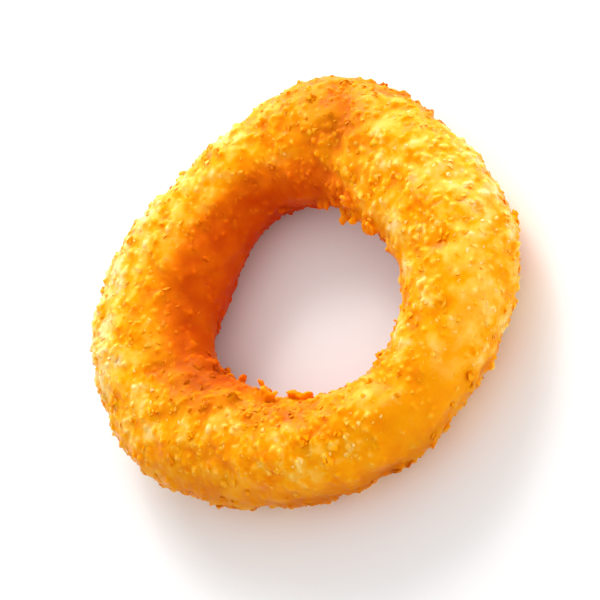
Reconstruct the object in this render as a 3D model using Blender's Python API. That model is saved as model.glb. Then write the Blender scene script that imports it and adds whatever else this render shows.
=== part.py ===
"""One crumbed and fried onion ring, lying flat on its underside.

Run it with blender --background --python part.py, or from Blender's text editor.
Units are metres, +Z is up. The origin is under the middle of the ring, on the surface
that it lies on. The ring is one closed solid: an uneven torus whose rim and hole wander
from a true circle, with soft swells in its coating and a flat resting face underneath.
"""

import math

import bpy
from mathutils import Matrix, Vector, noise

MM = 0.001

# Driving dimensions
RIM_RADIUS = 36.8 * MM  # centre to the outer rim, on average
HOLE_RADIUS = 17.3 * MM  # centre to the edge of the hole, on average
HEIGHT = 16.8 * MM  # underside to crest, before the swells
REST_DEPTH = 0.9 * MM  # how much of the round underside is pressed flat
BAND_RADIUS = (RIM_RADIUS + HOLE_RADIUS) / 2  # centre to the middle of the band

# Waves round the ring, each as (lobes, size, direction of one peak in degrees).
# How the outer rim swings out and in
RIM_WAVES = (
    (1, 1.1 * MM, 91),
    (2, 2.1 * MM, 135),
    (3, 0.9 * MM, 20),
    (4, 0.6 * MM, 31),
    (5, 0.5 * MM, 28),
)
# How the edge of the hole swings out and in
HOLE_WAVES = (
    (1, 0.5 * MM, 261),
    (2, 1.0 * MM, 96),
    (3, 0.9 * MM, 39),
    (4, 0.5 * MM, 48),
    (5, 0.3 * MM, 358),
)
# How the thickness changes
THICKNESS_WAVES = (
    (1, 0.25 * MM, 200),
    (2, 0.35 * MM, 15),
    (3, 0.30 * MM, 75),
)
# How far the crest leans outwards from the middle of the band
LEAN_WAVES = (
    (1, 0.5 * MM, 320),
    (2, 0.6 * MM, 60),
    (3, 0.5 * MM, 10),
)

# Swells and dips in the coating: (direction round the ring, angle round its section, size,
# half width round the ring, half width round the section), with angles in degrees.
# Round the section, 0 is the outer rim, 90 the top and 180 the wall of the hole.
SWELLS = (
    (30, 50, 0.9 * MM, 8, 40),
    (2, 65, 0.5 * MM, 9, 50),
    (17, 105, -0.9 * MM, 6, 50),
    (38, 150, 0.5 * MM, 9, 35),
    (128, 60, 0.5 * MM, 14, 40),
    (150, 150, 0.6 * MM, 10, 35),
    (184, 140, 0.7 * MM, 10, 35),
    (166, 100, -0.5 * MM, 7, 45),
    (216, 60, 0.4 * MM, 12, 40),
    (244, 10, 0.3 * MM, 7, 35),
    (272, 95, -0.4 * MM, 16, 35),
    (300, 55, 0.4 * MM, 14, 45),
    (336, 20, 0.2 * MM, 8, 40),
    (80, 110, -0.4 * MM, 12, 45),
)
# Soft unevenness all over: how far apart its lumps are, and how much they stand out
RIPPLE_SPACING = 9.0 * MM
RIPPLE_DEPTH = 0.45 * MM
LUMP_SPACING = 4.2 * MM
LUMP_DEPTH = 0.25 * MM
NOISE_PLACE = Vector((3.7, 1.9, 6.2))

# Mesh resolution
ROUND_RING = 136
ROUND_SECTION = 34

# Fried crumb coating: sRGB 246, 172, 42 as linear values
CRUST_COLOUR = (0.92, 0.41, 0.023, 1.0)
CRUST_ROUGHNESS = 0.55


def clear_scene():
    for old in list(bpy.data.objects):
        bpy.data.objects.remove(old, do_unlink=True)


def waves(parts, direction):
    """The sum of the cosine waves at one direction round the ring, in radians."""
    return sum(
        size * math.cos(lobes * (direction - math.radians(peak)))
        for lobes, size, peak in parts
    )


def degrees_apart(a, b):
    return (a - b + 180) % 360 - 180


def swell(direction, section):
    """How far the coating stands out there because of the swells and dips."""
    total = 0.0
    for at, around, size, half_at, half_around in SWELLS:
        along = degrees_apart(math.degrees(direction), at) / half_at
        across = degrees_apart(math.degrees(section), around) / half_around
        total += size * math.exp(-along * along - across * across)
    return total


def ripple(point):
    """Soft unevenness everywhere, from two scales of smooth noise."""
    broad = noise.noise(point / RIPPLE_SPACING + NOISE_PLACE)
    fine = noise.noise(point / LUMP_SPACING - NOISE_PLACE)
    return RIPPLE_DEPTH * broad + LUMP_DEPTH * fine


def coating_point(direction, section):
    """The point of the surface at one direction round the ring and one angle round its section."""
    rim = RIM_RADIUS + waves(RIM_WAVES, direction)
    hole = HOLE_RADIUS + waves(HOLE_WAVES, direction)
    half_width = (rim - hole) / 2
    half_height = HEIGHT / 2 + waves(THICKNESS_WAVES, direction) / 2
    lean = waves(LEAN_WAVES, direction)
    outward = Vector((math.cos(direction), math.sin(direction), 0))
    core = outward * (rim + hole) / 2
    across = half_width * math.cos(section) + lean * math.sin(section)
    above = half_height * math.sin(section)
    plain = core + outward * across + Vector((0, 0, above))
    away = outward * math.cos(section) + Vector((0, 0, math.sin(section)))
    return plain + away * (swell(direction, section) + ripple(plain))


def shape_coating(mesh):
    """Moves each point of a plain torus to its place on the uneven coating."""
    for vertex in mesh.vertices:
        x, y, z = vertex.co
        direction = math.atan2(y, x)
        section = math.atan2(z, math.hypot(x, y) - BAND_RADIUS)
        vertex.co = coating_point(direction, section)


def lay_flat(mesh):
    """Presses the underside flat at z = 0 and centres the ring over the origin."""
    low = Vector([min(v.co[i] for v in mesh.vertices) for i in range(3)])
    high = Vector([max(v.co[i] for v in mesh.vertices) for i in range(3)])
    middle = (low + high) / 2
    mesh.transform(Matrix.Translation((-middle.x, -middle.y, -low.z - REST_DEPTH)))
    for vertex in mesh.vertices:
        vertex.co.z = max(vertex.co.z, 0.0)


def crust_material():
    material = bpy.data.materials.new("fried_crumb_crust")
    material.use_nodes = True
    shader = material.node_tree.nodes["Principled BSDF"]
    shader.inputs["Base Color"].default_value = CRUST_COLOUR
    shader.inputs["Roughness"].default_value = CRUST_ROUGHNESS
    shader.inputs["Metallic"].default_value = 0.0
    return material


def make_ring():
    bpy.ops.mesh.primitive_torus_add(
        major_segments=ROUND_RING,
        minor_segments=ROUND_SECTION,
        major_radius=BAND_RADIUS,
        minor_radius=(RIM_RADIUS - HOLE_RADIUS) / 2,
    )
    ring = bpy.context.object
    ring.name = "ring"
    ring.data.name = "ring"
    shape_coating(ring.data)
    lay_flat(ring.data)
    ring.data.shade_smooth()
    ring.data.materials.append(crust_material())
    return ring


def gather(parts, name):
    """Puts the parts in a collection of their own."""
    collection = bpy.data.collections.new(name)
    bpy.context.scene.collection.children.link(collection)
    for part in parts:
        for old in list(part.users_collection):
            old.objects.unlink(part)
        collection.objects.link(part)


def main():
    clear_scene()
    gather([make_ring()], "onion_ring")


main()
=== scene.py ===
# %% [markdown]
# # A crumbed and fried onion ring
# A ring of onion is dipped in batter, rolled in breadcrumbs and deep fried. What shows is a
# thick golden ring: a lumpy crust with crumbs of many sizes pressed into it, pale where they
# stand out and deep orange in the hollows and down the wall of the hole. That colour is partly
# real browning and partly painted: painted light on the tops, painted shade in the hollows and
# in the hole.
# The imported model gives the ring's size and outline. This lesson makes the looks: first the
# crust, then the loose crumbs, then the colours, and last the studio.

# %% Load the frame
import math

import bmesh
import bpy
import numpy as np
from mathutils import Matrix, Vector, kdtree, noise
from mathutils.bvhtree import BVHTree


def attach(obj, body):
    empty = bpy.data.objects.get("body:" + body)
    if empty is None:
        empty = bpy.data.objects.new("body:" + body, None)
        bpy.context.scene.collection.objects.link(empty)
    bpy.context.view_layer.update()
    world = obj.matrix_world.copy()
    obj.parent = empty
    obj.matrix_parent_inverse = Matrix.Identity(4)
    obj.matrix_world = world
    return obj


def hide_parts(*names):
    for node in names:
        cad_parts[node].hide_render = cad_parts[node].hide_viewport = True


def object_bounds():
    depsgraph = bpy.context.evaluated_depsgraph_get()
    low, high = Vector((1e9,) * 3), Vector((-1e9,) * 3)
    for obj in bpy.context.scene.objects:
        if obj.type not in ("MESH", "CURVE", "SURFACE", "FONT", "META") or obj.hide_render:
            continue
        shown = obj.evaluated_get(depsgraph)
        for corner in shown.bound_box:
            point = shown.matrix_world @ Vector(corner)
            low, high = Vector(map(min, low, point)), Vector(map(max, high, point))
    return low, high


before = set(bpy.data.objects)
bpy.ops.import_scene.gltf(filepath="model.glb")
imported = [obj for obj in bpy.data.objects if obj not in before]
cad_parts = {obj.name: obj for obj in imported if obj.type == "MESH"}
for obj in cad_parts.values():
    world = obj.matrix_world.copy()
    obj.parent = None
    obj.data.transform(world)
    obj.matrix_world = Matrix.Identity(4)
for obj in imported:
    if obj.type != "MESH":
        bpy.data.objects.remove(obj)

MM = 0.001
BOX_LOW, BOX_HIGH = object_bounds()
print("box in mm:", [round((h - l) / MM, 1) for l, h in zip(BOX_LOW, BOX_HIGH)])

# %% [markdown]
# ## Where things are on a ring
# Most of the looks change with two angles: the direction round the ring, and the angle round
# its section, which is 0 on the outer rim, 90 on top and 180 on the wall of the hole. Both
# are measured from the middle of the band, so the middle is worked out once, in steps round
# the ring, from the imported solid.

# %% The middle of the band
STEPS_ROUND = 72


def mesh_points(mesh):
    points = np.empty(len(mesh.vertices) * 3, np.float32)
    mesh.vertices.foreach_get("co", points)
    return points.reshape(-1, 3).astype(float)


def direction_of(points):
    return np.degrees(np.arctan2(points[:, 1], points[:, 0])) % 360


def band_middle(points):
    """Radius and height of the band's middle for each step round the ring."""
    step = (direction_of(points) / 360 * STEPS_ROUND).astype(int) % STEPS_ROUND
    radius = np.hypot(points[:, 0], points[:, 1])
    middle = []
    for k in range(STEPS_ROUND):
        here = step == k
        middle.append((
            (radius[here].min() + radius[here].max()) / 2,
            (points[here, 2].min() + points[here, 2].max()) / 2,
        ))
    return np.array(middle)


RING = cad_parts["ring"]
MIDDLE = band_middle(mesh_points(RING.data))
MIDDLE_AT = (np.arange(STEPS_ROUND) + 0.5) * 360 / STEPS_ROUND


def angles(points):
    """Direction round the ring and angle round the section of each point, in degrees."""
    direction = direction_of(points)
    radius = np.interp(direction, MIDDLE_AT, MIDDLE[:, 0], period=360)
    height = np.interp(direction, MIDDLE_AT, MIDDLE[:, 1], period=360)
    out = np.hypot(points[:, 0], points[:, 1]) - radius
    section = np.degrees(np.arctan2(points[:, 2] - height, out)) % 360
    return direction, section


RADII = MIDDLE[:, 0] / MM
print("radius of the band's middle, mm:", round(RADII.min(), 1), "to", round(RADII.max(), 1))

# %% [markdown]
# ## Soft patches
# No fried ring is the same all over: the batter runs smooth here, crumbs gather there, and the
# fat browns one side more. Some patches are painted shade on the side away from the key lamp
# and painted light on the side it falls on. Painting that by hand would tie it to one mesh. So
# a patch is a soft spot given by the two angles and its half width in each, and works at any
# point.

# %% Patches
def apart(a, b):
    """The short way round from b to a, in degrees."""
    return (a - b + 180) % 360 - 180


def patch(points, at, around, half_at, half_around):
    """1 in the middle of the patch, 0.37 at its half width, and softly to 0 beyond."""
    direction, section = angles(points)
    along = apart(direction, at) / half_at
    across = apart(section, around) / half_around
    return np.exp(-along**2 - across**2)


def patches(points, spots):
    """Several patches together. Each spot is an amount, then a patch's two angles and widths."""
    return sum(amount * patch(points, *spot) for amount, *spot in spots)


def step_up(value, low, high):
    """0 below low, 1 above high, and smooth between."""
    t = np.clip((value - low) / (high - low), 0, 1)
    return t * t * (3 - 2 * t)


print("the short way from 10 degrees to 350:", apart(350, 10), "degrees")

# %% Toasted and pale patches, which also hold painted shade and light
# Deeper patches: some are real browning, others are painted shade on the rim under the ring, on
# the side away from the key lamp and in the hole.
TOASTED_AND_PAINTED_SHADE = (
    (0.35, 12, 95, 9, 50),
    (0.45, 16, 80, 20, 45),
    (0.4, 15, 20, 22, 45),
    (1.0, 168, 145, 24, 30),
    (0.35, 150, 118, 34, 22),
    (0.55, 0, -8, 20, 25),
    (0.6, 222, 128, 28, 30),
    (1.05, 230, -8, 40, 28),
    (0.5, 180, 22, 24, 40),
    (0.3, 258, 45, 18, 30),
    (0.2, 320, 80, 14, 12),
    (0.1, 283, 62, 26, 30),
    (0.25, 95, 100, 35, 14),
)
# Paler patches: partly underdone crust, partly painted light where the key lamp falls.
UNDERDONE_AND_PAINTED_LIGHT = (
    (-0.85, 130, 50, 30, 34),
    (-0.4, 85, 55, 30, 25),
    (-0.5, 325, 25, 35, 34),
    (-0.2, 285, 135, 22, 20),
)


def toast_and_painted_shading(points):
    """How deep a point is fried, with painted shade and light mixed in: 0 is golden, 1 deep
    orange, below 0 pale.
    """
    return patches(points, TOASTED_AND_PAINTED_SHADE + UNDERDONE_AND_PAINTED_LIGHT)


print("toasted patches:", len(TOASTED_AND_PAINTED_SHADE), "underdone patches:", len(UNDERDONE_AND_PAINTED_LIGHT))

# %% Ragged, crumbly and smooth patches
RAGGED = (
    (1.0, 148, 198, 10, 14),
    (1.0, 168, 188, 14, 13),
    (1.0, 190, 175, 14, 13),
    (1.0, 210, 160, 12, 13),
    (1.0, 345, 165, 14, 14),
    (1.0, 8, 182, 14, 14),
)
CRUMBLY = (
    (1.0, 350, 140, 32, 36),
    (1.0, 205, 115, 36, 40),
    (0.7, 315, 45, 40, 40),
)
SMOOTH = (
    (0.85, 268, 40, 28, 36),
    (0.8, 95, 175, 62, 44),
    (0.5, 215, 10, 28, 30),
    (0.35, 300, 60, 12, 30),
)


def ragged(points):
    """Where the edge of the hole is ragged with big crumbs."""
    return np.clip(patches(points, RAGGED), 0, 1)


def crumbly(points):
    """Where crumbs lie close together, with no bare batter between them."""
    return np.clip(patches(points, CRUMBLY), 0, 1)


def smoothness(points):
    """Where the batter ran smooth and few crumbs stand out."""
    return np.clip(patches(points, SMOOTH), 0, 1)


def calm(points):
    """Where the colour is even: on smooth batter, and on the deeper fried patches, painted shade
    included.
    """
    return np.clip(smoothness(points) + 0.6 * np.maximum(toast_and_painted_shading(points), 0), 0, 1)


print("ragged, crumbly and smooth patches:", len(RAGGED), len(CRUMBLY), len(SMOOTH))

# %% The wall of the hole, where the deep orange is mostly painted shade
# The wall's deep orange is mostly painted shade for the hole, with some real browning; these
# numbers set where it begins.
WALL_START = 137  # the angle round the section where the wall turns orange, on average
WALL_SWING = 27  # how much sooner it starts at WALL_SOONEST, and later on the other side
WALL_SOONEST = 75
WALL_DIP = 20  # how much sooner again it starts near WALL_DIP_AT
WALL_DIP_AT = 178
WALL_DIP_WIDTH = 25
UPPER_WALL = (-20, 45)  # where it begins and ends, counted from the start of the wall
LOWER_WALL = (45, 90)
UPPER_SHARE, LOWER_SHARE = 0.7, 0.3
UNDERSIDE = (235, 290)  # the angles over which the wall fades out under the ring


# The material turns this into a deep orange down the wall: mostly painted shade for the hole,
# with some real browning.
def wall_of_hole(points):
    """How far a point is down the wall of the hole, from 0 to 1."""
    direction, section = angles(points)
    swing = WALL_SWING * np.cos(np.radians(direction - WALL_SOONEST))
    dip = WALL_DIP * np.exp(-(apart(direction, WALL_DIP_AT) / WALL_DIP_WIDTH) ** 2)
    start = WALL_START - swing - dip
    # under the outer rim the angle counts as below 0, so that it isn't taken for the wall
    section = np.where(section > 300, section - 360, section)
    upper = step_up(section, start + UPPER_WALL[0], start + UPPER_WALL[1])
    lower = step_up(section, start + LOWER_WALL[0], start + LOWER_WALL[1])
    down = UPPER_SHARE * upper + LOWER_SHARE * lower
    return down * (1 - step_up(section, *UNDERSIDE)) * (1 - 0.6 * ragged(points))


print("the wall starts at:", WALL_START - WALL_SWING, "to", WALL_START + WALL_SWING, "degrees")

# %% [markdown]
# ## Noise over arrays
# Blender's noise module works on one point at a time. A small helper runs it over a whole
# array. The spacing is the size of a lump, and another place gives lumps elsewhere.

# %% Noise helper
def smooth_noise(points, spacing, place=0.0):
    shift = Vector((place, 2 * place, -place))
    return np.array([noise.noise(Vector(p) / spacing + shift) for p in points])


print("noise at three places:", smooth_noise(np.eye(3) * MM, 3 * MM).round(2))

# %% [markdown]
# ## The skin
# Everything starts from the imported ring, whose triangles are coarse and differ in size. A
# voxel remesh rebuilds it as an even net of small squares, so that lumps come out equally well
# everywhere. This skin is never shown: it is where crumbs are scattered. The batter under them
# is the same skin with lumps and swells, moved in by the depth of the crumb layer. Where the
# batter ran smooth it comes right up to the skin.

# %% Mesh helpers
def link(ob):
    bpy.context.scene.collection.objects.link(ob)
    return ob


def with_modifiers(mesh, *steps):
    """The mesh after the modifiers. A step is a kind and its settings."""
    ob = link(bpy.data.objects.new("workpiece", mesh))
    for kind, settings in steps:
        modifier = ob.modifiers.new(kind, kind)
        for key, value in settings.items():
            setattr(modifier, key, value)
    graph = bpy.context.evaluated_depsgraph_get()
    made = bpy.data.meshes.new_from_object(ob.evaluated_get(graph))
    bpy.data.objects.remove(ob)
    return made


def mesh_normals(mesh):
    normals = np.empty(len(mesh.vertices) * 3, np.float32)
    mesh.vertex_normals.foreach_get("vector", normals)
    return normals.reshape(-1, 3).astype(float)


def triangles_of(mesh):
    mesh.calc_loop_triangles()
    corners = np.empty(len(mesh.loop_triangles) * 3, np.int32)
    mesh.loop_triangles.foreach_get("vertices", corners)
    return corners.reshape(-1, 3)


def tree_of(points):
    tree = kdtree.KDTree(len(points))
    for i, p in enumerate(points):
        tree.insert(p, i)
    tree.balance()
    return tree


print("triangles of the packed ring:", len(triangles_of(RING.data)))

# %% The skin
SKIN_VOXEL = 0.5 * MM
WELD = 0.001 * MM


def welded_ring():
    """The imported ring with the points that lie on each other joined, as a remesh needs."""
    mesh = RING.data.copy()
    net = bmesh.new()
    net.from_mesh(mesh)
    bmesh.ops.remove_doubles(net, verts=net.verts, dist=WELD)
    net.to_mesh(mesh)
    net.free()
    return mesh


SKIN_MESH = with_modifiers(
    welded_ring(),
    ("REMESH", {"mode": "VOXEL", "voxel_size": SKIN_VOXEL}),
    ("SMOOTH", {"factor": 0.5, "iterations": 5}),
)
SKIN = mesh_points(SKIN_MESH)
SKIN_NORMALS = mesh_normals(SKIN_MESH)
SKIN_TRIANGLES = triangles_of(SKIN_MESH)
SKIN_TREE = tree_of(SKIN)
print("skin points:", len(SKIN))

# %% Batter
CRUMB_LAYER = 0.36 * MM
LUMP_SPACING = 3.2 * MM
LUMP_HEIGHT = 0.65 * MM
SWELL_SPACING = 8 * MM
SWELL_HEIGHT = 0.55 * MM


def lumps(points):
    """How far the batter's lumps stand over the skin at each point, or lie under it."""
    small = smooth_noise(points, LUMP_SPACING, 3.0) * (1 - 0.5 * smoothness(points))
    return LUMP_HEIGHT * small + SWELL_HEIGHT * smooth_noise(points, SWELL_SPACING, 5.0)


def batter():
    depth = CRUMB_LAYER * (1 - smoothness(SKIN))
    return SKIN + SKIN_NORMALS * (lumps(SKIN) - depth)[:, None]


BATTER = batter()
OFF_SKIN = np.linalg.norm(BATTER - SKIN, axis=1)
print("batter off the skin by up to, mm:", round(OFF_SKIN.max() / MM, 2))

# %% [markdown]
# ## Shapes of crumbs
# A breadcrumb is a broken piece: a few rough faces that meet in blunt edges, never a ball.
# The hull round a few points at random gives just that, for few triangles. Bigger crumbs are
# clumps: several hulls stuck together. A handful of shapes, turned and stretched at random,
# is enough for thousands of crumbs.

# %% One broken crumb
HULL_CORNERS = 12


def random_directions(rng, count):
    vectors = rng.normal(size=(count, 3))
    return vectors / np.linalg.norm(vectors, axis=1)[:, None]


def faces_of(net):
    bmesh.ops.triangulate(net, faces=net.faces)
    net.verts.index_update()
    points = np.array([v.co for v in net.verts])
    faces = np.array([[v.index for v in f.verts] for f in net.faces])
    net.free()
    return points, faces


def hull_shape(rng):
    """The hull round a few corners placed at random, about 1 in radius."""
    net = bmesh.new()
    for corner in random_directions(rng, HULL_CORNERS) * rng.uniform(0.6, 1.1, (HULL_CORNERS, 1)):
        net.verts.new(corner)
    made = bmesh.ops.convex_hull(net, input=net.verts)
    loose = [v for v in made["geom_interior"] if isinstance(v, bmesh.types.BMVert)]
    bmesh.ops.delete(net, geom=loose, context="VERTS")
    return faces_of(net)


TRIAL = hull_shape(np.random.default_rng(1))
print("one crumb has", len(TRIAL[0]), "corners and", len(TRIAL[1]), "faces")

# %% Clumps
def clump_shape(rng, parts, spread, low, high):
    """A few broken crumbs stuck together, spread apart, of low to high size."""
    points, faces = [], []
    for middle in random_directions(rng, parts) * rng.uniform(0.1, spread, (parts, 1)):
        corners, sides = hull_shape(rng)
        faces.append(sides + sum(len(p) for p in points))
        points.append(corners * rng.uniform(low, high) + middle)
    return np.concatenate(points), np.concatenate(faces)


SHAPE_RNG = np.random.default_rng(11)
NUB_SHAPES = [clump_shape(SHAPE_RNG, 12, 0.7, 0.3, 0.55) for _ in range(16)]
COARSE_SHAPES = [clump_shape(SHAPE_RNG, 5, 0.6, 0.4, 0.7) for _ in range(24)]
MEDIUM_SHAPES = [clump_shape(SHAPE_RNG, 3, 0.5, 0.6, 0.9) for _ in range(24)]
SMALL_SHAPES = [hull_shape(SHAPE_RNG) for _ in range(40)]
print("triangles in a nub:", len(NUB_SHAPES[0][1]), "in a small crumb:", len(SMALL_SHAPES[0][1]))

# %% [markdown]
# ## Scattering
# Crumbs land everywhere but keep a little apart, as no two are in one place. So more points
# than needed are drawn over the triangles, in proportion to their area, and each kept point
# then clears the ones that are too near. Some are dropped at random where the crust is
# smooth. Last, each point moves out or in with the batter's lumps, so that crumbs ride on them.
# Particles or geometry nodes could scatter too, but here each step is plain and can be printed.

# %% Scatter
DRAWN_FOR_EACH = 6
CORNER = SKIN[SKIN_TRIANGLES[:, 0]]
SIDE = SKIN[SKIN_TRIANGLES[:, 1]] - CORNER
OTHER_SIDE = SKIN[SKIN_TRIANGLES[:, 2]] - CORNER
AREA = np.linalg.norm(np.cross(SIDE, OTHER_SIDE), axis=1) / 2


def scatter(rng, wanted, spacing, keep):
    """Points on the ring's skin and the normals there. keep gives each point's chance."""
    drawn = wanted * DRAWN_FOR_EACH
    pick = rng.choice(len(AREA), drawn, p=AREA / AREA.sum())
    u, v = rng.random((2, drawn, 1))
    # a pair past the triangle's long side is folded back into it
    u, v = np.where(u + v > 1, 1 - u, u), np.where(u + v > 1, 1 - v, v)
    points = CORNER[pick] + u * SIDE[pick] + v * OTHER_SIDE[pick]
    normals = SKIN_NORMALS[SKIN_TRIANGLES[pick, 0]]
    kept = rng.random(drawn) < keep(points)
    points, normals = points[kept], normals[kept]
    tree = tree_of(points)
    free = np.ones(len(points), bool)
    chosen = []
    for i, p in enumerate(points):
        if free[i]:
            chosen.append(i)
            for _, j, _ in tree.find_range(p, spacing):
                free[j] = False
        if len(chosen) == wanted:
            break
    points, normals = points[chosen], normals[chosen]
    return points + normals * lumps(points)[:, None], normals


print("area of the skin, square cm:", round(AREA.sum() * 1e4, 1))

# %% Where crumbs gather
CLUMP_SPACING = 4.5 * MM
CLUMP_EDGE = 0.25  # the lower, the sharper the clumps
CRUMBLY_ADDS = 0.3


def chance(least, calm_share, place=8.0, ragged_share=0.0):
    """Each point's chance of a crumb: least between the clumps, and lower on smooth patches."""
    def keep(points):
        rough = 1 - calm_share * smoothness(points)
        gathered = smooth_noise(points, CLUMP_SPACING, place) + CRUMBLY_ADDS * crumbly(points)
        clumps = step_up(gathered, -CLUMP_EDGE, CLUMP_EDGE)
        even = rough * (least + (1 - least) * clumps)
        return even + ragged_share * ragged(points)
    return keep


print("mean chance on the skin:", round(chance(0.6, 0.8)(SKIN[::50]).mean(), 2))

# %% [markdown]
# ## Placing thousands of crumbs
# The points of a shape are turned, sized and moved for all its crumbs at once, with arrays.
# A batch of crumbs is one array of points and one of triangles, with each crumb's own tone,
# which is how toasted it is. An object for each crumb would be simpler, but thousands are slow.

# %% Turned and sized crumbs
STRETCH = (0.65, 1.4)  # a crumb's sides are this much shorter or longer than its size


def sizes_between(rng, count, low, high, skew):
    """Sizes from low to high. The higher the skew, the more of them are small."""
    return low + (high - low) * rng.random(count) ** skew


def turns(rng, normals, lean):
    """A turn for each crumb: spun at random, its short side roughly along the normal."""
    up = normals + lean * random_directions(rng, len(normals))
    up /= np.linalg.norm(up, axis=1)[:, None]
    side = np.cross(up, random_directions(rng, len(normals)))
    side /= np.linalg.norm(side, axis=1)[:, None]
    return np.stack([side, np.cross(up, side), up], axis=2)


def batch(rng, shapes, middles, normals, sizes, flat=0.75, lean=0.35):
    """Points and triangles, and for each point its crumb's tone, its height and its crumb."""
    spun = turns(rng, normals, lean)
    stretch = rng.uniform(*STRETCH, (len(middles), 3)) * (1, 1, flat)
    scaled = spun * (stretch * sizes[:, None])[:, None, :]
    picks = rng.integers(len(shapes), size=len(middles))
    tones = rng.random(len(middles))
    points, triangles, tone, rise, owner = [], [], [], [], []
    start = 0
    for k, (corners, faces) in enumerate(shapes):
        mine = picks == k
        arms = np.einsum("nij,pj->npi", scaled[mine], corners)
        points.append((arms + middles[mine, None, :]).reshape(-1, 3))
        tone.append(np.repeat(tones[mine], len(corners)))
        owner.append(np.repeat(np.flatnonzero(mine), len(corners)))
        rise.append((np.einsum("npi,ni->np", arms, normals[mine]) / sizes[mine, None]).ravel())
        starts = start + np.arange(mine.sum()) * len(corners)
        triangles.append((faces[None] + starts[:, None, None]).reshape(-1, 3))
        start += mine.sum() * len(corners)
    return tuple(np.concatenate(part) for part in (points, triangles, tone, rise, owner))


print("five sizes:", sizes_between(np.random.default_rng(1), 5, 0.5, 1.0, skew=1.8).round(2))

# %% From arrays to a mesh
TOP_CRUMB = 0.4 * MM


def mesh_from(name, points, faces):
    mesh = bpy.data.meshes.new(name)
    mesh.vertices.add(len(points))
    mesh.vertices.foreach_set("co", points.astype(np.float32).ravel())
    mesh.loops.add(faces.size)
    mesh.loops.foreach_set("vertex_index", faces.astype(np.int32).ravel())
    mesh.polygons.add(len(faces))
    mesh.polygons.foreach_set("loop_start", np.arange(0, faces.size, 3, dtype=np.int32))
    mesh.update(calc_edges=True)
    mesh.shade_smooth()
    return mesh


def set_value(mesh, name, values):
    """Keeps one number for each point, for the material to read."""
    layer = mesh.attributes.new(name, "FLOAT", "POINT")
    layer.data.foreach_set("value", np.asarray(values, np.float32))


def set_vector(mesh, name, vectors):
    layer = mesh.attributes.new(name, "FLOAT_VECTOR", "POINT")
    layer.data.foreach_set("vector", vectors.astype(np.float32).ravel())


def set_patches(mesh, points):
    """Keeps how deep fried each point is, painted shade and light included, how far down the wall
    and how even in colour it is.
    """
    set_value(mesh, "toast_and_painted_shading", toast_and_painted_shading(points))
    set_value(mesh, "wall", wall_of_hole(points))
    set_value(mesh, "calm", calm(points))


def above_table(points):
    """Nothing reaches under the surface that the ring lies on, or far over the ring's top."""
    points[:, 2] = np.clip(points[:, 2], 0.0, BOX_HIGH.z + TOP_CRUMB)
    return points


print("crumbs stay under, mm:", round((BOX_HIGH.z + TOP_CRUMB) / MM, 1))

# %% [markdown]
# ## The crust
# In the fryer the crumbs and the batter fuse: a crumb isn't a bead on a surface but a knob
# that grows out of it. So coarse and medium crumbs are sunk into the batter, with a few big
# nubs where the edge of the hole is ragged. A voxel remesh turns the lot into one continuous
# skin, and a little smoothing rounds it as fat and batter do. Displacement could raise bumps
# too, but not crumbs with a neck or an overhang.

# %% Crumbs in the batter
def fused_batch(seed, shapes, count, spacing, low, high, top, keep=chance(0.6, 0.8), sunk=0.7):
    """Up to count crumbs of low to high size, sunk by a share of it, give or take top."""
    rng = np.random.default_rng(seed)
    places, normals = scatter(rng, count, spacing, keep)
    sizes = sizes_between(rng, len(places), low, high, skew=1.6)
    reach = rng.uniform(-top, top, len(places)) - sizes * sunk
    middles = places + normals * reach[:, None]
    print("crumbs sunk in the batter:", len(places))
    return batch(rng, shapes, middles, normals, sizes)


def stacked(parts):
    """The points, triangles and tones of several batches as one."""
    starts = np.cumsum([0] + [len(p[0]) for p in parts[:-1]])
    triangles = [p[1] + start for p, start in zip(parts, starts)]
    return (
        np.concatenate([p[0] for p in parts]),
        np.concatenate(triangles),
        np.concatenate([p[2] for p in parts]),
    )


# %% Fuse crumbs and batter
FUSED_VOXEL = 0.25 * MM


def fused_crust():
    coarse = fused_batch(
        31, COARSE_SHAPES, count=1100, spacing=2.2 * MM,
        low=0.9 * MM, high=1.9 * MM, top=0.6 * MM,
    )
    medium = fused_batch(
        32, MEDIUM_SHAPES, count=6000, spacing=1.15 * MM,
        low=0.5 * MM, high=1.05 * MM, top=0.3 * MM,
    )
    nubs = fused_batch(
        33, NUB_SHAPES, count=300, spacing=2.6 * MM,
        low=1.5 * MM, high=2.8 * MM, top=0.4 * MM, keep=ragged, sunk=-0.15,
    )
    body = (BATTER, SKIN_TRIANGLES, np.full(len(BATTER), 0.5))
    points, triangles, tones = stacked([body, coarse, medium, nubs])
    fused = with_modifiers(
        mesh_from("crust", points, triangles),
        ("REMESH", {"mode": "VOXEL", "voxel_size": FUSED_VOXEL}),
        ("SMOOTH", {"factor": 0.5, "iterations": 1}),
    )
    return fused, points, tones


CRUST, SOWN, SOWN_TONES = fused_crust()
print("crust triangles:", len(triangles_of(CRUST)))

# %% [markdown]
# ## What the crust tells its material
# The colour of fried crumbs follows their shape: tops are pale, hollows are dark. That is
# partly real browning and partly painted: painted light on the tops and painted shade in the
# hollows. Each point is compared with the average of its neighbours, taken over and over: a
# point that stands out from that average is a top, and one that lies under it is a hollow.
# The same measure first fills the hollows, as batter does. A decimation then spends the
# triangles where the surface bends, and whatever specks it leaves loose are dropped. The
# Geometry node's Pointiness gives something like these heights, but only in Cycles, and it
# changes with the mesh.

# %% Tops and hollows
def edges_of(mesh):
    pairs = np.empty(len(mesh.edges) * 2, np.int32)
    mesh.edges.foreach_get("vertices", pairs)
    return pairs.reshape(-1, 2)


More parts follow.
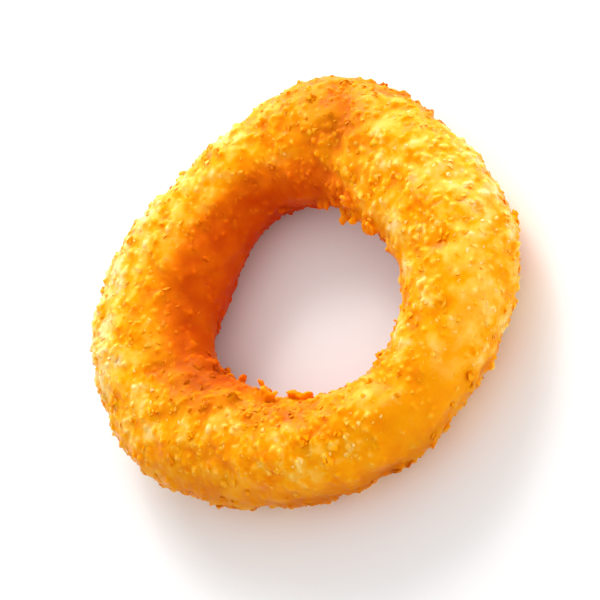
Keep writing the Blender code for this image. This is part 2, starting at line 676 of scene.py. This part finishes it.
def averaged(mesh, points, rounds):
    """The points after each one has moved to the middle of its neighbours, rounds times."""
    first, second = edges_of(mesh).T
    count = np.bincount(first, minlength=len(points)) + np.bincount(second, minlength=len(points))
    for _ in range(rounds):
        total = np.empty_like(points)
        for axis in range(3):
            total[:, axis] = np.bincount(first, points[second, axis], len(points))
            total[:, axis] += np.bincount(second, points[first, axis], len(points))
        points = 0.5 * points + 0.5 * total / np.maximum(count, 1)[:, None]
    return points


def move_points(mesh, points):
    mesh.vertices.foreach_set("co", points.astype(np.float32).ravel())
    mesh.update()


def standing_out(mesh, points, rounds):
    """How far each point stands out of the average round it, in metres."""
    away = points - averaged(mesh, points, rounds)
    return np.einsum("ij,ij->i", away, mesh_normals(mesh))


BENDS = standing_out(SKIN_MESH, SKIN, 5)
print("the plain skin stands out by up to, mm:", round(BENDS.max() / MM, 3))

# %% Fill the hollows
HOLLOW_ROUNDS = 12  # more rounds compare a point with a wider average
HOLLOW_SHARE = 0.7


def hollows_filled(mesh, rounds, share):
    """Batter and fat fill the hollows: points that lie low are lifted by a share of it."""
    points = mesh_points(mesh)
    low = np.minimum(standing_out(mesh, points, rounds), 0)
    move_points(mesh, points - mesh_normals(mesh) * (share * low)[:, None])
    print("deepest hollow, mm:", round(low.min() / MM, 2))
    return mesh


CRUST = hollows_filled(CRUST, HOLLOW_ROUNDS, HOLLOW_SHARE)

# %% Fewer triangles and no specks
CRUST_TRIANGLES = 190_000


def without_specks(mesh):
    """Only the largest connected part of the mesh."""
    net = bmesh.new()
    net.from_mesh(mesh)
    unseen = set(net.verts)
    parts = []
    while unseen:
        part = [unseen.pop()]
        for corner in part:
            near = {edge.other_vert(corner) for edge in corner.link_edges} & unseen
            unseen -= near
            part.extend(near)
        parts.append(part)
    parts.sort(key=len)
    for speck in parts[:-1]:
        bmesh.ops.delete(net, geom=speck, context="VERTS")
    net.to_mesh(mesh)
    net.free()
    print("specks dropped:", len(parts) - 1, "faces repaired:", mesh.validate())
    return mesh


TRIANGLE_SHARE = CRUST_TRIANGLES / len(triangles_of(CRUST))
CRUST = without_specks(with_modifiers(CRUST, ("DECIMATE", {"ratio": TRIANGLE_SHARE})))
CRUST_POINTS = above_table(mesh_points(CRUST))
move_points(CRUST, CRUST_POINTS)
CRUST.shade_smooth()

# %% Values for the material
HEIGHT_ROUNDS = 30
HEIGHT_RANGE = 0.6 * MM  # from the deepest hollow to the highest top


def nearest_values(points, tree, values):
    return values[[tree.find(p)[1] for p in points]]


OUT = standing_out(CRUST, CRUST_POINTS, HEIGHT_ROUNDS)
# The material makes low places deeper orange and high places paler: partly real browning, partly
# painted shade and light.
set_value(CRUST, "height", np.clip(0.5 + OUT / HEIGHT_RANGE, 0, 1))
set_value(CRUST, "tone", nearest_values(CRUST_POINTS, tree_of(SOWN), SOWN_TONES))
set_patches(CRUST, CRUST_POINTS)
set_vector(CRUST, "skin_normal", nearest_values(CRUST_POINTS, SKIN_TREE, SKIN_NORMALS))
print("stands out, mm:", [round(v / MM, 2) for v in np.percentile(OUT, [2, 25, 50, 75, 98])])

# %% [markdown]
# ## Loose crumbs
# Over the fused crust lie crumbs that kept their own shape. There are five kinds, each one
# piece: coarse ones that break the outline, golden, pale and toasted ones, and fine grit. The
# pale crumbs and the fine grit are pale partly by their own tone and partly as painted
# highlights that stand in for glints.
# Each is set on the nearest place of the crust and sunk a little, so that none hangs free.

# %% Seats on the crust
CRUST_TREE = BVHTree.FromPolygons(CRUST_POINTS.tolist(), triangles_of(CRUST).tolist())


def on_crust(points):
    """The place on the crust that is nearest to each point."""
    return np.array([CRUST_TREE.find_nearest(p)[0] for p in points])


FIRST_SEAT = CRUST_TREE.find_nearest(SKIN[0])
print("from the skin's first point to the crust, mm:", round(FIRST_SEAT[3] / MM, 2))

# %% A piece of loose crumbs
SHARP_EDGE = math.radians(46)
RISE_SHARE = 0.4  # a crumb's point one size over its middle is this much over half height


def crumb_piece(name, seed, shapes, count, spacing, sizes, stands, keep, flat=0.55):
    """A piece of loose crumbs. stands is how far their middles are over the crust, in sizes."""
    rng = np.random.default_rng(seed)
    places, normals = scatter(rng, count, spacing, keep)
    radius = sizes_between(rng, len(places), *sizes, skew=1.8)
    over = rng.uniform(*stands, len(places)) * radius
    middles = on_crust(places) + normals * over[:, None]
    points, triangles, tones, rise, owner = batch(
        rng, shapes, middles, normals, radius, flat, lean=0.25
    )
    points = above_table(points)
    mesh = mesh_from(name, points, triangles)
    set_value(mesh, "tone", tones)
    # The lower sides of a crumb take a deeper colour and its top a paler one: partly real
    # browning, partly painted shade and light.
    set_value(mesh, "height", 0.5 + RISE_SHARE * rise)
    mesh.set_sharp_from_angle(angle=SHARP_EDGE)
    set_patches(mesh, points)
    set_vector(mesh, "skin_normal", normals[owner])
    print(name, len(places), "crumbs", len(mesh.polygons), "triangles")
    return link(bpy.data.objects.new(name, mesh))


# %% Five kinds of loose crumbs
COARSE = crumb_piece(
    "coarse_crumbs", 21, COARSE_SHAPES, count=280, spacing=2.4 * MM,
    sizes=(0.7 * MM, 1.4 * MM), stands=(-0.4, 0.05), flat=0.75,
    keep=chance(0.1, 0.9, place=4.0, ragged_share=1.0),
)
GOLDEN = crumb_piece(
    "golden_crumbs", 22, SMALL_SHAPES, count=850, spacing=1.6 * MM,
    sizes=(0.35 * MM, 0.9 * MM), stands=(-0.35, 0.0), keep=chance(0.2, 0.9),
)
PALE = crumb_piece(
    "pale_crumbs", 23, SMALL_SHAPES, count=850, spacing=1.6 * MM,
    sizes=(0.3 * MM, 0.75 * MM), stands=(-0.35, -0.05), keep=chance(0.3, 0.85, place=6.0),
)
BROWN = crumb_piece(
    "toasted_crumbs", 25, SMALL_SHAPES, count=180, spacing=2.2 * MM,
    sizes=(0.3 * MM, 0.8 * MM), stands=(-0.4, -0.1), keep=chance(0.1, 0.9, place=2.0),
)
FINE = crumb_piece(
    "fine_crumbs", 24, SMALL_SHAPES, count=800, spacing=0.9 * MM,
    sizes=(0.18 * MM, 0.34 * MM), stands=(-0.3, 0.1), keep=chance(0.3, 0.8),
)

# %% [markdown]
# ## The fried finish
# One recipe colours the crust and every kind of crumb, so that they look like one thing. The
# height over the crust picks the colour from a ramp: orange in the creases, golden on the
# sides of the crumbs, straw on their tops, which is partly real browning and partly painted
# shade in the creases and painted light on the tops. A crumb's own tone and soft noise shift
# that, and sides that stand up from the skin go deeper as painted shade. Toasted patches go
# deeper too, partly real browning and partly painted shade. The wall of the hole has an orange
# ramp of its own, mostly painted shade for the hole.
# Light goes some way into batter, which subsurface scattering does. Crumbs are too small for
# it: they would turn dark. A thin film of oil, drier where it is toasted, gives the glints.

# %% A recipe of nodes
class Recipe:
    """A material's nodes, added and joined one by one."""

    def __init__(self, name):
        self.material = bpy.data.materials.new(name)
        self.material.use_nodes = True
        self.tree = self.material.node_tree
        self.shader = self.tree.nodes["Principled BSDF"]

    def add(self, kind, **settings):
        node = self.tree.nodes.new(kind)
        for key, value in settings.items():
            setattr(node, key, value)
        return node

    def feed(self, socket, source):
        if isinstance(source, bpy.types.NodeSocket):
            self.tree.links.new(source, socket)
        else:
            socket.default_value = source

    def math(self, operation, a, b=0.0, clamp=False):
        node = self.add("ShaderNodeMath", operation=operation, use_clamp=clamp)
        self.feed(node.inputs[0], a)
        self.feed(node.inputs[1], b)
        return node.outputs[0]

    def value(self, name):
        return self.add("ShaderNodeAttribute", attribute_name=name).outputs["Fac"]

    def noise(self, spacing, detail=2.0):
        where = self.add("ShaderNodeTexCoord").outputs["Object"]
        node = self.add("ShaderNodeTexNoise")
        self.feed(node.inputs["Vector"], where)
        self.feed(node.inputs["Scale"], 1 / spacing)
        self.feed(node.inputs["Detail"], detail)
        return node.outputs["Fac"]

    def blend(self, share, a, b):
        node = self.add("ShaderNodeMix", data_type="RGBA")
        self.feed(node.inputs["Factor"], share)
        self.feed(node.inputs["A"], a)
        self.feed(node.inputs["B"], b)
        return node.outputs["Result"]


# %% Shares, steep sides and ramps
def around_half(recipe, source, share):
    """A share of how far the source is over or under a half."""
    return recipe.math("MULTIPLY", recipe.math("SUBTRACT", source, 0.5), share)


def steepness(recipe):
    """0 where the surface lies along the skin, 1 where it stands up from it."""
    skin = recipe.add("ShaderNodeAttribute", attribute_name="skin_normal").outputs["Vector"]
    turned = recipe.add("ShaderNodeVectorTransform", vector_type="NORMAL")
    turned.convert_from, turned.convert_to = "OBJECT", "WORLD"
    recipe.feed(turned.inputs["Vector"], skin)
    along = recipe.add("ShaderNodeVectorMath", operation="DOT_PRODUCT")
    recipe.feed(along.inputs[0], recipe.add("ShaderNodeNewGeometry").outputs["Normal"])
    recipe.feed(along.inputs[1], turned.outputs["Vector"])
    return recipe.math("SUBTRACT", 1.0, along.outputs["Value"], clamp=True)


def ramp(recipe, source, stops):
    """The colour between the stops, each a place from 0 to 1 and its colour."""
    node = recipe.add("ShaderNodeValToRGB")
    elements = node.color_ramp.elements
    while len(elements) < len(stops):
        elements.new(0.5)
    for element, (place, colour) in zip(elements, stops):
        element.position = place
        element.color = colour
    recipe.feed(node.inputs["Fac"], source)
    return node.outputs["Color"]


# %% The colours of frying
def linear(red, green, blue):
    """A screen colour of 0 to 255 as the linear colour that Blender works in."""
    parts = [c / 255 for c in (red, green, blue)]
    parts = [c / 12.92 if c <= 0.04045 else ((c + 0.055) / 1.055) ** 2.4 for c in parts]
    return (*parts, 1.0)


GOLDEN_STOPS = [
    (0.0, linear(220, 108, 0)),
    (0.18, linear(236, 130, 0)),
    (0.36, linear(246, 150, 0)),
    (0.54, linear(251, 167, 2)),
    (0.74, linear(253, 190, 68)),
    (1.0, linear(255, 214, 145)),
]
# The orange ramp of the wall: mostly painted shade for the hole, with some real browning.
HOLE_SHADE_STOPS = [
    (0.0, linear(250, 160, 2)),
    (0.35, linear(231, 116, 0)),
    (0.7, linear(206, 79, 0)),
    (1.0, linear(196, 52, 0)),
]
# The brown that toasted patches blend towards: real browning and painted shade together.
BROWN_AND_SHADE_COLOUR = linear(150, 48, 0)
print("stops of the golden ramp:", len(GOLDEN_STOPS), "and of the orange one:", len(HOLE_SHADE_STOPS))

# %% The colour of the crust and its crumbs
# How much each thing moves the colour along its ramp, which goes from 0 to 1
# The first of these colours the creases deeper and the tops paler: partly real browning, partly
# painted shade and light.
BY_HEIGHT_AND_SHADE = 0.42
BY_TONE = 0.16
BY_GRAIN = 0.12
BY_WIDE_MOTTLE = 1.4
BY_NARROW_MOTTLE = 0.8
BY_TOAST_AND_SHADE = 0.35
CALMED = 0.95  # how much of its mottle an even place loses
WALL_BY_CRUMBS = 0.7  # how much of the height, tone and grain shows on the wall
WALL_BY_MOTTLE = 0.35
WALL_BLEND = 2.5  # the higher, the sooner the orange ramp takes over from the golden one
BROWNING_AND_SHADE = 1.3


def fried_colour(recipe, lift, lively, flank_shade):
    """The colour. lift makes it paler, lively more mottled, and the third share darkens the sides
    that stand up from the skin, as painted shade.
    """
    # Painted shade in the hollows and painted light on the tops, with some real browning.
    height = around_half(recipe, recipe.value("height"), BY_HEIGHT_AND_SHADE)
    tone = around_half(recipe, recipe.value("tone"), BY_TONE)
    grain = around_half(recipe, recipe.noise(0.5 * MM, 3), BY_GRAIN)
    local = recipe.math("ADD", recipe.math("ADD", height, tone), grain)
    wide = around_half(recipe, recipe.noise(5.0 * MM), BY_WIDE_MOTTLE)
    narrow = around_half(recipe, recipe.noise(1.8 * MM), BY_NARROW_MOTTLE)
    patchy = recipe.math("ADD", wide, narrow)
    uneven = recipe.math("SUBTRACT", 1.0, recipe.math("MULTIPLY", recipe.value("calm"), CALMED))
    mottle = recipe.math("MULTIPLY", recipe.math("MULTIPLY", patchy, uneven), lively)
    # How toasted a point is, which carries painted shade as well as real browning.
    toasted_and_shaded = recipe.math("MULTIPLY", recipe.value("toast_and_painted_shading"), BY_TOAST_AND_SHADE)
    mix = recipe.math("ADD", recipe.math("ADD", local, mottle), lift)
    # Painted shade: sides that stand up from the skin go deeper orange.
    mix = recipe.math("SUBTRACT", mix, recipe.math("MULTIPLY", steepness(recipe), flank_shade))
    golden = ramp(recipe, recipe.math("SUBTRACT", mix, toasted_and_shaded, clamp=True), GOLDEN_STOPS)
    # Down the wall of the hole the colour turns deep orange: mostly painted shade, with some real
    # browning.
    wall = recipe.value("wall")
    deep = recipe.math("SUBTRACT", wall, recipe.math("MULTIPLY", local, WALL_BY_CRUMBS))
    patchy_wall = recipe.math("MULTIPLY", patchy, WALL_BY_MOTTLE)
    deep = recipe.math("SUBTRACT", deep, patchy_wall, clamp=True)
    orange = ramp(recipe, deep, HOLE_SHADE_STOPS)
    colour = recipe.blend(recipe.math("MULTIPLY", wall, WALL_BLEND, clamp=True), golden, orange)
    # Toasted patches blend towards brown: partly real browning, partly painted shade.
    shade_and_browning = recipe.math("MULTIPLY", recipe.math("MAXIMUM", toasted_and_shaded, 0.0), BROWNING_AND_SHADE)
    return recipe.blend(shade_and_browning, colour, BROWN_AND_SHADE_COLOUR)


# %% The film of oil
OIL_PART = 0.45  # oil lies where the noise is under this
OIL_EDGE = 4.0  # the higher, the sharper the edge of the oil
OILY = 0.22  # the roughness where oil lies
BETWEEN_OIL = 0.35  # how much rougher it is between
DRY = 0.35  # how much rougher it is where it is dry
BUMP_STRENGTH = 0.25
BUMP_DEPTH = 0.1 * MM


def oil_roughness(recipe):
    """Smooth where oil lies, rougher between, and dry on toasted patches and the wall."""
    bare = recipe.math("SUBTRACT", recipe.noise(0.9 * MM), OIL_PART)
    bare = recipe.math("MULTIPLY", bare, OIL_EDGE, clamp=True)
    rough = recipe.math("ADD", recipe.math("MULTIPLY", bare, BETWEEN_OIL), OILY)
    toasted_and_shaded = recipe.math("MAXIMUM", recipe.value("toast_and_painted_shading"), 0.0)
    dry = recipe.math("ADD", recipe.value("wall"), toasted_and_shaded, clamp=True)
    return recipe.math("ADD", rough, recipe.math("MULTIPLY", dry, DRY), clamp=True)


def rough_bump(recipe):
    """The finest grain, too small for the mesh."""
    bump = recipe.add("ShaderNodeBump")
    bump.inputs["Strength"].default_value = BUMP_STRENGTH
    bump.inputs["Distance"].default_value = BUMP_DEPTH
    recipe.feed(bump.inputs["Height"], recipe.noise(0.3 * MM, 3))
    return bump.outputs["Normal"]


# %% Fried finishes
def fried(name, lift, lively=0.5, flank_shade=0.4, scatter=0.0):
    """A fried finish. scatter is how much of the light goes into it."""
    recipe = Recipe(name)
    inputs = recipe.shader.inputs
    recipe.feed(inputs["Base Color"], fried_colour(recipe, lift, lively, flank_shade))
    recipe.feed(inputs["Roughness"], oil_roughness(recipe))
    recipe.feed(inputs["Normal"], rough_bump(recipe))
    inputs["Subsurface Weight"].default_value = scatter
    inputs["Subsurface Radius"].default_value = (1.0, 0.65, 0.3)
    inputs["Subsurface Scale"].default_value = 1.4 * MM
    inputs["Specular IOR Level"].default_value = 0.14
    inputs["Specular Tint"].default_value = (1.0, 0.7, 0.2, 1.0)
    print(name, "has", len(recipe.tree.nodes), "nodes")
    return recipe.material


# The pale crumbs and the fine grit get a high lift: partly their own pale tone, partly painted
# highlights in place of glints.
FINISHES = {
    "crust": fried("fried_batter", 0.51, lively=1.0, flank_shade=0.2, scatter=0.8),
    "coarse_crumbs": fried("coarse_crumb", 0.56),
    "golden_crumbs": fried("golden_crumb", 0.6),
    "pale_crumbs": fried("pale_crumb_and_painted_glint", 0.79),
    "toasted_crumbs": fried("toasted_crumb", 0.48),
    "fine_crumbs": fried("fine_crumb_and_painted_glint", 0.78),
}

# %% Put the pieces on the frame
CRUST_PIECE = link(bpy.data.objects.new("crust", CRUST))
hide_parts("ring")
for piece in (CRUST_PIECE, COARSE, GOLDEN, PALE, BROWN, FINE):
    piece.data.materials.append(FINISHES[piece.name])
    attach(piece, "root")
print("pieces:", sorted(FINISHES))

# %% [markdown]
# ## The studio
# The ring lies on a plain white table. A large soft key lamp stands low on one side, so that
# the near wall of the hole falls into its own shade. A weak fill lamp and the white
# surroundings soften that shade, and a small lamp gives the oil its sparks.

# %% Table
TABLE_COLOUR = (0.86, 0.86, 0.86, 1.0)
TABLE_SIDE = 4.0
TABLE_GAP = 0.02 * MM  # so that the ring's flat foot and the table don't lie in one plane


def add_table():
    place = (0, 0, BOX_LOW.z - TABLE_GAP)
    bpy.ops.mesh.primitive_plane_add(size=TABLE_SIDE, location=place)
    table = bpy.context.object
    table.name = "table"
    recipe = Recipe("white_table")
    recipe.shader.inputs["Base Color"].default_value = TABLE_COLOUR
    recipe.shader.inputs["Roughness"].default_value = 0.7
    table.data.materials.append(recipe.material)


add_table()
print("the table is", TABLE_SIDE, "m wide")

# %% Lamps
def add_lamp(name, towards, distance, size, power, target):
    """A round lamp that shines on the target. towards is the way to the lamp from there."""
    data = bpy.data.lights.new(name, "AREA")
    data.shape = "DISK"
    data.size = size
    data.energy = power
    lamp = link(bpy.data.objects.new(name, data))
    lamp.location = target + Vector(towards).normalized() * distance
    lamp.rotation_euler = (target - lamp.location).to_track_quat("-Z", "Y").to_euler()


CENTRE = (BOX_LOW + BOX_HIGH) / 2
add_lamp("key", (0.58, 0.69, 0.42), 0.6, 0.5, 3.8, CENTRE)
add_lamp("fill", (0.45, -0.75, 0.42), 0.7, 0.6, 1.2, CENTRE)
add_lamp("spark", (0.55, 0.60, 0.58), 0.7, 0.12, 0.7, CENTRE)

# %% White surroundings
SURROUNDINGS = 0.86

WORLD = bpy.data.worlds.new("white_studio")
WORLD.use_nodes = True
WORLD.node_tree.nodes["Background"].inputs["Color"].default_value = (1, 1, 1, 1)
WORLD.node_tree.nodes["Background"].inputs["Strength"].default_value = SURROUNDINGS
bpy.context.scene.world = WORLD
bpy.context.scene.view_settings.view_transform = "Standard"
print("strength of the surroundings:", SURROUNDINGS)

# %% [markdown]
# ## The camera
# The camera looks down on the ring with a long lens, which keeps the far side as large as the
# near one. It is turned about its own axis, so that the ring shows as one that leans with its
# hole towards the viewer.

# %% Camera
ELEVATION = math.radians(52)
ROLL = math.radians(60)
VIEW_WIDTH = 96 * MM
LENS = 250.0
SENSOR = 36.0


def add_camera():
    right = Vector((1, 0, 0))
    up = Vector((0, math.sin(ELEVATION), math.cos(ELEVATION)))
    back = Vector((0, -math.cos(ELEVATION), math.sin(ELEVATION)))
    image_right = right * math.cos(ROLL) - up * math.sin(ROLL)
    image_up = right * math.sin(ROLL) + up * math.cos(ROLL)
    data = bpy.data.cameras.new("camera")
    data.lens = LENS
    data.sensor_width = SENSOR
    camera = link(bpy.data.objects.new("camera", data))
    turned = Matrix((image_right, image_up, back)).transposed().to_4x4()
    distance = VIEW_WIDTH * LENS / SENSOR
    camera.matrix_world = Matrix.Translation(CENTRE + back * distance) @ turned
    data.clip_start = 0.01
    data.clip_end = 10.0
    bpy.context.scene.camera = camera


add_camera()
print("camera in mm:", [round(v / MM) for v in bpy.context.scene.camera.location])
